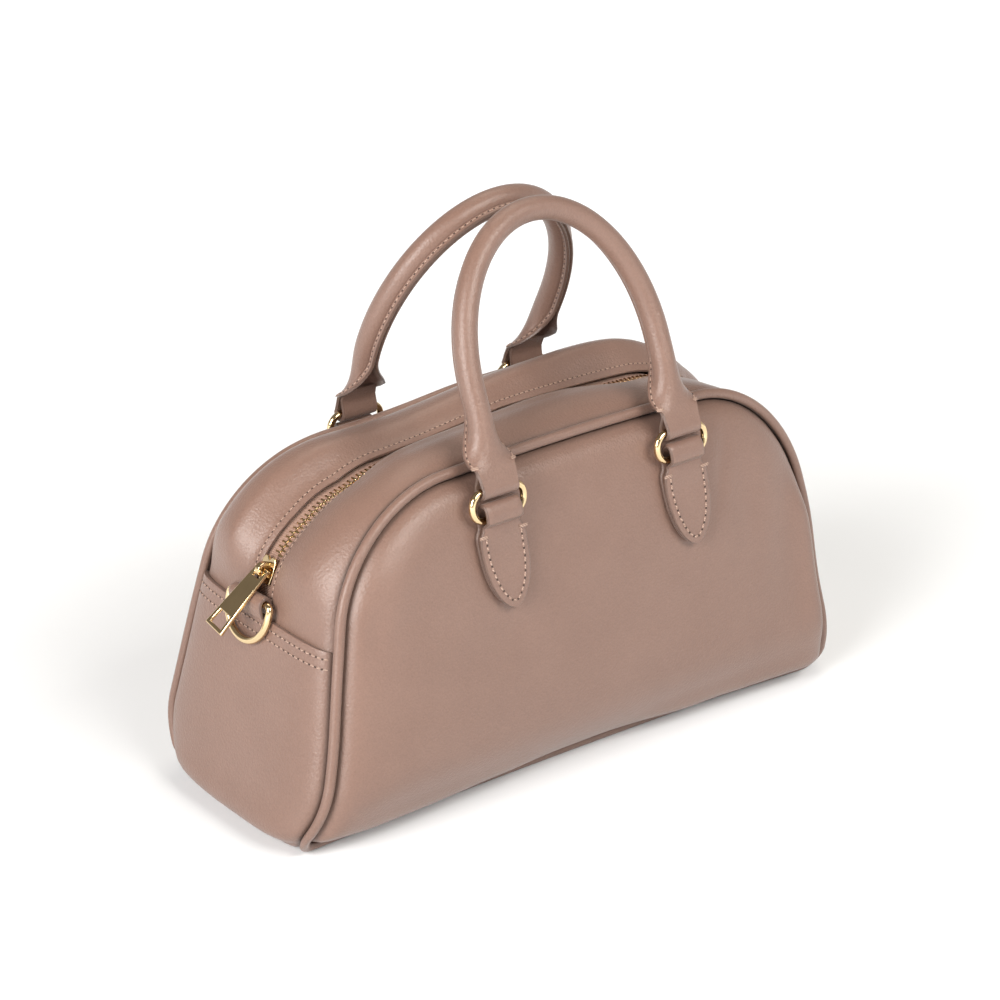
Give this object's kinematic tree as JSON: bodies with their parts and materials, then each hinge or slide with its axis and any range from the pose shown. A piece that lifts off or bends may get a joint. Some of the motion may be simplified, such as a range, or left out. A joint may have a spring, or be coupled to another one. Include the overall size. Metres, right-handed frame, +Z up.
{
  "type": "bowling bag",
  "caption": "Closed bowling handbag in smooth leather with puffed faces, piped edges, a top zip with a long pull, rolled handles on oval rings and end D-rings.",
  "frame": {"origin": "on the floor under the middle of the base", "axes": "+X along the bag to the end without the slider, +Y to the back, +Z up"},
  "size_m": [0.3185, 0.1385, 0.2573],
  "materials": {
    "leather": "smooth fine-grained satin leather",
    "zip_tape": "woven twill tape",
    "gold_metal": "polished pale gold plating"
  },
  "bodies": {
    "bag": {"front_panel": "leather", "back_panel": "leather", "front_piping": "leather", "back_piping": "leather", "lower_gusset": "leather", "top_strip_front": "leather", "top_strip_back": "leather", "zip_tape_front": "zip_tape", "zip_tape_back": "zip_tape", "zip_chain": "gold_metal", "zip_slider": "gold_metal", "handle_tab_front_left": "leather", "handle_tab_front_right": "leather", "handle_tab_back_left": "leather", "handle_tab_back_right": "leather", "end_tab_left": "leather", "end_tab_right": "leather", "end_ring_left": "gold_metal", "end_ring_right": "gold_metal"},
    "zip_pull": {"zip_pull": "gold_metal"},
    "front_handle": {"front_handle": "leather", "handle_ring_front_left": "gold_metal", "handle_ring_front_right": "gold_metal"},
    "back_handle": {"back_handle": "leather", "handle_ring_back_left": "gold_metal", "handle_ring_back_right": "gold_metal"}
  },
  "joints": [
    {"name": "zip_pull_swing", "type": "hinge", "parent": "bag", "child": "zip_pull", "pos_m": [-0.13804, 0, 0.11559], "axis": [0, 1, 0], "range_deg": [0, 130]},
    {"name": "front_handle_swing", "type": "hinge", "parent": "bag", "child": "front_handle", "pos_m": [0, -0.05703, 0.1357], "axis": [1, 0, 0], "range_deg": [0, 145]},
    {"name": "back_handle_swing", "type": "hinge", "parent": "bag", "child": "back_handle", "pos_m": [0, 0.05354, 0.1378], "axis": [-1, 0, 0], "range_deg": [0, 140]}
  ]
}
